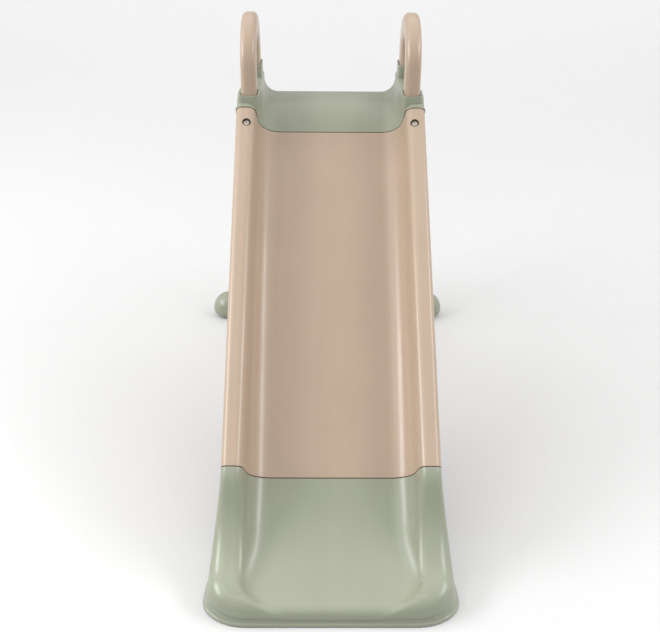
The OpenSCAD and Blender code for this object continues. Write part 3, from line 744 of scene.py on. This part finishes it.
# ------------------------------------------------------------------ operators
class SLIDE_OT_chute(bpy.types.Operator):
    """Straight trough with rolled seams, screw recesses on its rails and skirt"""

    bl_idname = "slide.chute"
    bl_label = "Chute"

    def execute(self, context):
        lo = P.length - P.gap
        edge = np.array([0.1, 0.3, 0.6, 1.0, 1.4])
        splices = (P.length - 28, P.length - 46)
        close = [(P.rail_down, 10, 0.5)] + [(d, 6, 0.5) for d in splices]
        down = np.unique(np.concatenate([steps(0, lo, 60, *close), edge, lo - edge]))
        g = rolled(np.minimum(down, lo - down))
        rail = steps(0, 1, 12)
        side = steps(0, 1, 14, (0.168, 0.07, 0.006))
        outer, n = chute_grid(down, g, rail, side)
        inner, _ = chute_grid(down, P.wall + 0 * g, rail, side)
        s, c = math.sin(P.slope), math.cos(P.slope)
        outer = sink(outer, on_slope(P.screw_x, P.depth, P.rail_down), np.array([0.0, s, -c]),
                     P.recess_r, 5.5)
        for d in splices:
            outer = sink(outer, on_slope(P.half_w, P.depth - 27, d), np.array([-1.0, 0.0, 0.0]),
                         4.7, 2.2, 0.7)
        piece = shell("chute_skin", mirrored(outer), mirrored(inner), "beige_plastic")
        paint(piece, beige())
        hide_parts("chute")
        return {"FINISHED"}


class SLIDE_OT_run_out(bpy.types.Operator):
    """Flared run-out: widening side ribs, then ribs round the corners and across the front"""

    bl_idname = "slide.run_out"
    bl_label = "Run-out"

    def execute(self, context):
        seam_edge = [0.0005, 0.0016, 0.0032, 0.0055, 0.0075]
        s = np.unique(np.concatenate([np.linspace(0, 1, 70), seam_edge]))
        dist = s * (P.seam[0] - P.corner_y) / math.cos(P.slope)
        c = np.linspace(0, 1, 41)[1:]
        f = np.linspace(0, 1, 15)[1:]
        cc = np.concatenate([c, np.ones_like(f)])
        ff = np.concatenate([0 * c, f])
        outer, inner = (
            mirrored(np.concatenate([side_ribs(s, side_in), front_ribs(cc, ff, front_in, 14)]))
            for side_in, front_in in ((rolled(dist), 0.0), (P.wall + 0 * dist, P.wall)))
        piece = shell("run_out_skin", outer, inner, "green_plastic", open_end=True, merge=2e-5)
        paint(piece, green())
        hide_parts("run_out")
        return {"FINISHED"}


class SLIDE_OT_platform(bpy.types.Operator):
    """Start scoop, level deck, shoulders, collars round the handles and the rear wall"""

    bl_idname = "slide.platform"
    bl_label = "Platform"

    def execute(self, context):
        arc = P.scoop_r * P.slope
        seam_edge = np.array([0.1, 0.3, 0.6, 1.0, 1.4]) / arc
        rear_edge = np.array([0.1, 0.4, 1.0, 2.0, 3.0]) / P.flat
        i = np.unique(np.concatenate([
            np.linspace(0, 1, 56), np.linspace(1, 2, 16), seam_edge, 2 - rear_edge]))
        g = rolled(i * arc) + rolled((2 - i) * P.flat, 3.0)
        skin = self.lip(deck_ribs(i, g), i * arc)
        # the inner skin stops 3 mm short, at the inside of the rear wall
        inner_i = np.where(i > 1, 1 + (i - 1) * (1 - 3.0 / P.flat), i)
        deck = shell("deck_part", mirrored(skin), mirrored(deck_ribs(inner_i, 3.0 + 0 * i)),
                     "green_plastic", plate_end=True, turn=True)
        collars = [self.collar(sign, P.front_leg, P.deck_z + 18.0) for sign in (1, -1)]
        piece = join("platform_skin", [deck, *collars])
        paint(piece, green())
        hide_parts("platform")
        return {"FINISHED"}

    def lip(self, grid, d):
        """Raises a band about 4 mm wide beside the seam where it passes over the rail.

        The band is pushed 1.9 mm away from a line inside the rail, and dies out at distance d
        from the seam and down the trough's wall.
        """
        s, c = math.sin(P.slope), math.cos(P.slope)
        n = (grid[..., 2] - P.top[1]) * c - (grid[..., 1] - P.top[0]) * s
        core_x, core_n, start_n = P.screw_x, P.depth - 19, P.depth - 45
        dx, dn = grid[..., 0] - core_x, n - core_n
        far = np.hypot(dx, dn) + 1e-6
        fall = (1 - ease((d - 3.2) / 1.8))[:, None]
        rise = 1.9 * fall * ease((n - start_n) / (core_n - start_n))
        rise = rise * (grid[..., 0] > core_x - 48)
        out = np.stack([dx / far, -dn / far * s, dn / far * c], -1)
        return grid + out * rise[..., None]

    def collar(self, sign, y, foot):
        """A rounded rectangular sleeve: out, over a rolled rim, and down inside."""
        r, wall, shoulder = P.rim_r, P.collar_wall, P.rim_z - P.rim_r
        a = np.linspace(0, math.pi / 2, 6)
        rows = [(0.0, foot), (0.0, P.rim_z - 8), (0.0, shoulder)]
        rows += [(r * (1 - math.cos(t)), shoulder + r * math.sin(t)) for t in a[1:]]
        rows += [(wall - r + r * math.sin(t), shoulder + r * math.cos(t)) for t in a]
        rows += [(wall, P.rim_z - 26)]
        loops = np.stack([
            rounded_loop(P.collar_x - 2 * o, P.collar_y - 2 * o, 9 - o) for o, _ in rows])
        # the outer side stands 3.4 mm further out, level with the platform's own side
        out = (loops[..., 0] * sign > 0) & (np.array([o for o, _ in rows]) < 1.2)[:, None]
        loops[..., 0] += np.where(out, sign * 3.4, 0.0)
        n = len(rows)
        centre = np.array([[sign * P.handle_x, y, z] for _, z in rows])
        return tube("collar_part", centre, [[1, 0, 0]] * n, [[0, 1, 0]] * n, loops, "green_plastic")


class SLIDE_OT_handles(bpy.types.Operator):
    """Two hooped grips: a rounded rectangular tube carried up, over a half circle and down"""

    bl_idname = "slide.handles"
    bl_label = "Handles"

    def execute(self, context):
        for sign, side in ((-1, "left"), (1, "right")):
            up = np.linspace(P.deck_z + 13, P.bend_z, 26)[:-1]
            a = np.linspace(0, math.pi, 61)
            mid = (P.front_leg + P.rear_leg) / 2
            y = np.concatenate([0 * up + P.front_leg, mid - P.bend_r * np.cos(a), 0 * up + P.rear_leg])
            z = np.concatenate([up, P.bend_z + P.bend_r * np.sin(a), up[::-1]])
            th = np.concatenate([0 * up, a, 0 * up + math.pi])
            n = len(y)
            centre = np.stack([np.full(n, sign * P.handle_x), y, z], -1)
            across = np.tile([1.0, 0.0, 0.0], (n, 1))
            # from the bend's outside to its inside, square to the path
            inward = np.stack([0 * th, np.cos(th), -np.sin(th)], -1)
            loops = np.tile(rounded_loop(P.grip_x, P.grip_y, 11, 12), (n, 1, 1))
            piece = tube(f"handle_{side}_skin", centre, across, inward, loops, "beige_plastic")
            paint(piece, beige())
            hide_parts(f"handle_{side}")
        return {"FINISHED"}


class SLIDE_OT_ladder(bpy.types.Operator):
    """Two bent stiles with rolled sockets, three grooved treads and the domed base bar"""

    bl_idname = "slide.ladder"
    bl_label = "Ladder"

    def execute(self, context):
        for sign, side in ((-1, "left"), (1, "right")):
            self.stile(sign, side)
        for i in (1, 2, 3):
            self.tread(i)
        self.bar()
        return {"FINISHED"}

    def stile(self, sign, side):
        """A rounded rectangular post: leaning foot, softened knee, upright top, rolled rim."""
        r, wall = P.rim_r, P.collar_wall
        a = np.linspace(0, math.pi / 2, 6)
        low = np.linspace(5, P.knee_z - 16, 14)
        knee = np.linspace(P.knee_z - 12, P.knee_z + 12, 9)
        high = np.linspace(P.knee_z + 16, P.socket_z - r, 10)
        z = np.concatenate([low, knee, high])
        slant = math.tan(P.lean)
        # a parabola of 24 mm joins the leaning line to the upright one
        t = np.clip((P.knee_z + 12 - z) / 24, 0, None)
        y = P.rear_leg + slant * np.where(t < 1, 12 * t * t, 24 * t - 12)
        o = 0 * z
        rim_o = np.concatenate([r * (1 - np.cos(a[1:])), wall - r + r * np.sin(a), [wall]])
        rim_z = np.concatenate([P.socket_z - r + r * np.sin(a[1:]), P.socket_z - r + r * np.cos(a),
                                [P.socket_z - 40]])
        z, y, o = (np.concatenate(v) for v in ((z, rim_z), (y, 0 * rim_z + P.rear_leg), (o, rim_o)))
        loops = np.stack([
            rounded_loop(P.collar_x - 2 * q, P.collar_y - 2 * q, 8 + 3 * (q > 2) - q) for q in o])
        n = len(z)
        centre = np.stack([np.full(n, sign * P.handle_x), y, z], -1)
        piece = tube(f"stile_{side}_skin", centre, [[1, 0, 0]] * n, [[0, 1, 0]] * n, loops,
                     "green_plastic")
        paint(piece, green())
        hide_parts(f"stile_{side}")

    def tread(self, i):
        """A rounded slab between the stiles whose top carries five soft ridges."""
        z0 = (P.deck_z - 20) / 4 * i
        y0 = P.rear_leg + math.tan(P.lean) * (P.knee_z - z0)
        half = P.stile_in - P.gap
        x = np.concatenate([-half + np.array([0, 0.4, 1, 2, 4, 8, 12, 15, 18, 24]),
                            np.linspace(-half + 30, half - 30, 20),
                            half - np.array([24, 18, 15, 12, 8, 4, 2, 1, 0.4, 0])])
        half_size = np.array([43.0, 14.0])
        base = rounded_loop(*(2 * half_size), 8, 10)
        extra = np.stack([np.linspace(34, -34, 69), np.full(69, half_size[1])], -1)
        loop = np.concatenate([base[:10], extra, base[10:]])
        d = half - np.abs(x)
        tuck = rolled(d, 2.0)
        loops = np.tile(loop, (len(x), 1, 1))
        loops = loops * (1 - tuck[:, None, None] / half_size)
        ridge = np.zeros(loops.shape[:2])
        for k in range(-2, 3):
            q = np.clip(1 - (loops[..., 0] - k * 13) ** 2 / 2.6**2, 0, None)
            ridge = np.maximum(ridge, q)
        on_top = (loops[..., 1] > 12.5) * ease((d - 12) / 5)[:, None]
        loops[..., 1] += 1.4 * np.sqrt(ridge) * on_top
        n = len(x)
        centre = np.stack([x, np.full(n, y0), np.full(n, z0 - 14)], -1)
        piece = tube(f"step_{i}_skin", centre, [[0, 1, 0]] * n, [[0, 0, 1]] * n, loops, "beige_plastic")
        paint(piece, beige())
        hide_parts(f"step_{i}")

    def bar(self):
        """Base bar: a domed half section swept straight, with half turns at both ends.

        The dome is a quarter ellipse above 18 mm, and a rounded foot of 14 mm below.
        """
        r, h = P.bar_d / 2, P.bar_h - P.foot_t
        a = np.linspace(0, math.pi / 2, 25)
        u = np.linspace(0, math.pi / 2, 13)[1:]
        rad = np.concatenate([r * np.sin(a), r - 14 + 14 * np.cos(u)])
        z = np.concatenate([18 + (h - 18) * np.cos(a), 18 - 18 * np.sin(u)])
        b = np.linspace(0, math.pi, 37)
        reach = P.base_w / 2 - r
        # plan directions: half turn at +x, straight, half turn at -x, straight
        lanes = np.linspace(0, 1, 30, endpoint=False)[1:]
        along1 = mix(reach, -reach, lanes)
        ang = np.concatenate([b - math.pi / 2, np.full(29, math.pi / 2), b + math.pi / 2,
                              np.full(29, 1.5 * math.pi)])
        shift = np.concatenate([np.full(37, reach), along1, np.full(37, -reach), -along1])
        pts = np.stack([shift[:, None] + rad[None] * np.cos(ang)[:, None],
                        P.bar_y + rad[None] * np.sin(ang)[:, None],
                        P.foot_t + z[None] + 0 * ang[:, None]], -1)
        rows, k = pts.shape[:2]
        faces = [list(f) for f in quads(rows, k, wrap_rows=True)]
        faces.append(list(range(k - 1, rows * k, k))[::-1])
        piece = make_object("base_bar_skin", P.world(pts), faces, "green_plastic", merge=1e-5)
        paint(piece, green())
        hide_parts("base_bar")


class SLIDE_OT_fasteners(bpy.types.Operator):
    """Recessed rail screws with driven sockets, and finishes of the other screws, nuts and washers"""

    bl_idname = "slide.fasteners"
    bl_label = "Fasteners"

    def execute(self, context):
        s, c = math.sin(P.slope), math.cos(P.slope)
        # head of 5.2 mm radius with a chamfer and a 2.5 mm socket, on a plain shank
        profile = [(3.0, -21), (3.0, -0.2), (5.2, 0.0), (5.2, 1.6), (4.7, 2.2), (2.9, 2.5),
                   (2.6, 2.2), (2.5, -2.6), (0.2, -2.9)]
        heads = []
        for sign in (1, -1):
            at = on_slope(sign * P.screw_x, P.depth - 5.6, P.rail_down)
            heads.append(turned("head", at, (0.0, -s, c), profile, "steel"))
        piece = join("rail_screw_heads", heads)
        paint(piece, steel())
        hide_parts("rail_screws")
        for name in ("rail_nuts", "splice_screws", "handle_screws", "deck_bolts", "deck_nuts",
                     "deck_washers", "step_screws", "base_screws"):
            paint_node(name, steel())
        paint_node("lower_splices", beige())
        for name in ("front_feet", "rear_feet"):
            paint_node(name, rubber())
        return {"FINISHED"}


class SLIDE_OT_stage(bpy.types.Operator):
    """Pale floor, soft lights and the camera"""

    bl_idname = "slide.stage"
    bl_label = "Studio"

    def execute(self, context):
        s = context.scene.slide_stage
        self.floor(s)
        self.lights(s)
        self.camera(s)
        return {"FINISHED"}

    def floor(self, s):
        """A wide flat sheet whose far end curves up into a wall."""
        bend = np.linspace(0, 1, 13)[1:] * math.pi / 2
        y = np.concatenate([np.linspace(-9, 9, 19), 9 + 2 * np.sin(bend), [11, 11]])
        z = np.concatenate([np.zeros(19), 2 - 2 * np.cos(bend), [5, 9]])
        x = np.linspace(-13, 13, 14)
        pts = np.stack([x[None] + 0 * y[:, None], y[:, None] + 0 * x[None], z[:, None] + 0 * x[None]], -1)
        mesh = bpy.data.meshes.new("studio_floor")
        mesh.from_pydata(pts.reshape(-1, 3), [], [list(map(int, f)) for f in quads(len(y), 14)])
        mesh.polygons.foreach_set("use_smooth", np.ones(len(mesh.polygons), bool))
        floor = bpy.data.objects.new("studio_floor", mesh)
        bpy.context.scene.collection.objects.link(floor)
        floor.data.materials.append(studio_floor("Studio floor", tuple(s.floor)))

    def lights(self, s):
        """A white room and three soft lights: two windows at the sides and one strip above."""
        world = bpy.data.worlds.new("Studio room")
        bpy.context.scene.world = world
        world.use_nodes = True
        t = world.node_tree
        back = t.nodes["Background"]
        parts = t.nodes.new("ShaderNodeSeparateXYZ")
        t.links.new(node(t, "ShaderNodeTexCoord", out=0).socket, parts.inputs[0])
        _, y, z = (Wire(t, v) for v in parts.outputs)
        # dim in front and near the horizon, bright above and behind
        lift = (z * 0.75 + y * 0.55).fade(-0.75, 0.9)
        t.links.new((lift * s.fill + s.front).socket, back.inputs[1])
        back.inputs[0].default_value = (1.0, 1.0, 1.0, 1.0)
        for name, at, aim, size, power in (
                ("Left window", (-2.5, -0.45, 1.75), (0.1, 0.0, 0.35), (1.9, 0.80), s.key),
                ("Left thin strip", (-1.35, -0.4, 2.65), (0.0, 0.0, 0.3), (2.0, 0.28), s.key * 0.12),
                ("Right window", (2.3, -0.45, 2.0), (0.0, 0.0, 0.3), (1.9, 0.60), s.key * 0.62)):
            data = bpy.data.lights.new(name, "AREA")
            data.shape = "RECTANGLE"
            data.size, data.size_y = size
            data.energy = power
            light = bpy.data.objects.new(name, data)
            # the long side lies along y
            back_to = (Vector(at) - Vector(aim)).normalized()
            along = Vector((0, 1, 0))
            along = (along - back_to * along.dot(back_to)).normalized()
            across = back_to.cross(along)
            light.matrix_world = Matrix((
                (along.x, across.x, back_to.x, at[0]), (along.y, across.y, back_to.y, at[1]),
                (along.z, across.z, back_to.z, at[2]), (0.0, 0.0, 0.0, 1.0)))
            bpy.context.scene.collection.objects.link(light)

    def camera(self, s):
        """In front of the run-out and 1.2 m up, looking down along the chute."""
        bpy.context.scene.view_settings.view_transform = "Standard"
        data = bpy.data.cameras.new("Camera")
        data.sensor_width = 36.0
        data.lens = s.lens
        data.clip_start, data.clip_end = 0.02, 100.0
        cam = bpy.data.objects.new("Camera", data)
        pitch, yaw, roll = math.radians(29.0), 0.01336, 0.0100
        flat = math.cos(pitch)
        fw = Vector((math.sin(yaw) * flat, math.cos(yaw) * flat, -math.sin(pitch)))
        right = Vector((math.cos(yaw), -math.sin(yaw), 0.0))
        up = right.cross(fw)
        r2 = right * math.cos(roll) + up * math.sin(roll)
        u2 = up * math.cos(roll) - right * math.sin(roll)
        at = Vector((-0.02243, -1.12173 - P.half_y * 0.001, 1.20301))
        cam.matrix_world = Matrix((
            (r2.x, u2.x, -fw.x, at.x), (r2.y, u2.y, -fw.y, at.y), (r2.z, u2.z, -fw.z, at.z),
            (0.0, 0.0, 0.0, 1.0)))
        bpy.context.scene.collection.objects.link(cam)
        bpy.context.scene.camera = cam


class SLIDE_PT_panel(bpy.types.Panel):
    """Buttons and settings of the slide"""

    bl_label = "Toddler slide"
    bl_idname = "SLIDE_PT_panel"
    bl_space_type = "VIEW_3D"
    bl_region_type = "UI"
    bl_category = "Slide"

    def draw(self, context):
        for group in (context.scene.slide_finish, context.scene.slide_stage):
            box = self.layout.box()
            for key in group.__annotations__:
                box.prop(group, key)
        for op in MAKERS:
            self.layout.operator(op.bl_idname)


MAKERS = (SLIDE_OT_stage, SLIDE_OT_chute, SLIDE_OT_run_out, SLIDE_OT_platform,
          SLIDE_OT_handles, SLIDE_OT_ladder, SLIDE_OT_fasteners)
CLASSES = (SlideFinish, SlideStage, *MAKERS, SLIDE_PT_panel)


def register():
    """Adds the settings, buttons and panel."""
    for c in CLASSES:
        bpy.utils.register_class(c)
    bpy.types.Scene.slide_finish = bpy.props.PointerProperty(type=SlideFinish)
    bpy.types.Scene.slide_stage = bpy.props.PointerProperty(type=SlideStage)


def unregister():
    """Takes them away again."""
    del bpy.types.Scene.slide_stage
    del bpy.types.Scene.slide_finish
    for c in reversed(CLASSES):
        bpy.utils.unregister_class(c)


def main():
    """Builds the studio and every piece through the buttons' own operators."""
    register()
    for op in MAKERS:
        group, name = op.bl_idname.split(".")
        getattr(getattr(bpy.ops, group), name)()


if __name__ == "__main__":
    main()
